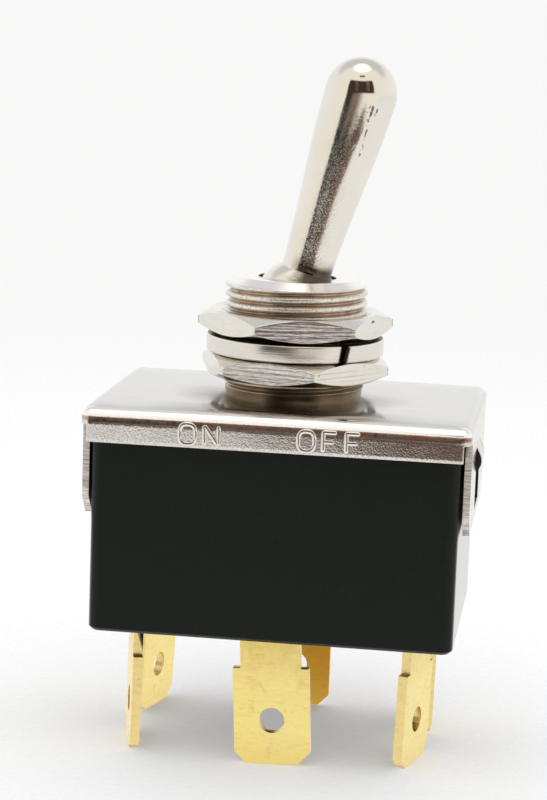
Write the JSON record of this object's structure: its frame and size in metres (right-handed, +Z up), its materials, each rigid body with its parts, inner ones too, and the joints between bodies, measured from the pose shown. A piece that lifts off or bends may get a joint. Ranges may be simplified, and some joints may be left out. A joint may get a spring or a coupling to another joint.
{
  "type": "panel toggle switch",
  "caption": "Bat-handle toggle switch for panel mounting, with a threaded bushing, nuts and lock washer, a stamped cover over a moulded case, and push-on blade terminals underneath.",
  "frame": {"origin": "on the bushing axis, in the plane of the blade tips", "axes": "+Z up along the bushing, +X the way the lever leans at rest, +Y to the back"},
  "size_m": [0.0324, 0.023, 0.058],
  "materials": {
    "phenolic": "satin black moulded phenolic",
    "nickel_sheet": "nickel-plated sheet, satin, slightly grainy on the flanges",
    "nickel_turned": "nickel-plated turned thread",
    "nickel_bright": "bright nickel plate",
    "nickel_nut": "nickel plate with milled flats",
    "brass_blade": "stamped brass, satin",
    "brass_plain": "plain brass",
    "silver": "silver contact",
    "steel": "plain steel",
    "nylon": "natural nylon",
    "fibre": "vulcanised fibre sheet"
  },
  "bodies": {
    "housing": {"base_body": "phenolic", "cover_frame": "nickel_sheet", "bushing": "nickel_turned", "bushing_washer": "nickel_sheet", "retainer_ring": "brass_plain", "insulating_sheet": "fibre", "terminal_centre_front": "brass_blade", "terminal_centre_back": "brass_blade", "terminal_front_left": "brass_blade", "terminal_front_right": "brass_blade", "terminal_back_left": "brass_blade", "terminal_back_right": "brass_blade", "fixed_contacts_front": "silver", "fixed_contacts_back": "silver", "lower_nut": "nickel_nut"},
    "lever_assembly": {"lever": "nickel_bright", "pivot_pin": "steel", "plunger_carrier": "nylon", "spring_front": "steel", "spring_back": "steel"},
    "plunger_front": {"plunger_front": "steel"},
    "plunger_back": {"plunger_back": "steel"},
    "rocker_front": {"rocker_front": "brass_plain", "rocker_contacts_front": "silver"},
    "rocker_back": {"rocker_back": "brass_plain", "rocker_contacts_back": "silver"},
    "lock_washer": {"lock_washer": "nickel_nut"},
    "upper_nut": {"upper_nut": "nickel_nut"}
  },
  "joints": [
    {"name": "lever_throw", "type": "hinge", "parent": "housing", "child": "lever_assembly", "pos_m": [0, 0, 0.0374], "axis": [0, 1, 0], "range_deg": [-30, 0]},
    {"name": "rocker_front_tilt", "type": "hinge", "parent": "housing", "child": "rocker_front", "pos_m": [0, -0.0047, 0.0178], "axis": [0, 1, 0], "range_deg": [0, 15]},
    {"name": "rocker_back_tilt", "type": "hinge", "parent": "housing", "child": "rocker_back", "pos_m": [0, 0.0047, 0.0178], "axis": [0, 1, 0], "range_deg": [0, 15]},
    {"name": "plunger_front_slide", "type": "slide", "parent": "lever_assembly", "child": "plunger_front", "axis": [0.2588, 0, 0.9659], "range_m": [0, 0.0006], "stiffness_N_per_m": 600, "springref_m": -0.002, "deforming": ["spring_front"]},
    {"name": "plunger_back_slide", "type": "slide", "parent": "lever_assembly", "child": "plunger_back", "axis": [0.2588, 0, 0.9659], "range_m": [0, 0.0006], "stiffness_N_per_m": 600, "springref_m": -0.002, "deforming": ["spring_back"]},
    {"name": "nut_lift", "type": "slide", "parent": "housing", "child": "lock_washer", "axis": [0, 0, 1], "range_m": [0, 0.00158]},
    {"name": "nut_spin", "type": "hinge", "parent": "lock_washer", "child": "upper_nut", "pos_m": [0, 0, 0.03585], "axis": [0, 0, 1], "range_deg": [0, 720]}
  ],
  "couplings": [
    {"joint": "rocker_front_tilt", "follows": "lever_throw", "ratio": -0.5},
    {"joint": "rocker_back_tilt", "follows": "lever_throw", "ratio": -0.5},
    {"joint": "nut_spin", "follows": "nut_lift", "rad_per_m": 7915.8}
  ]
}
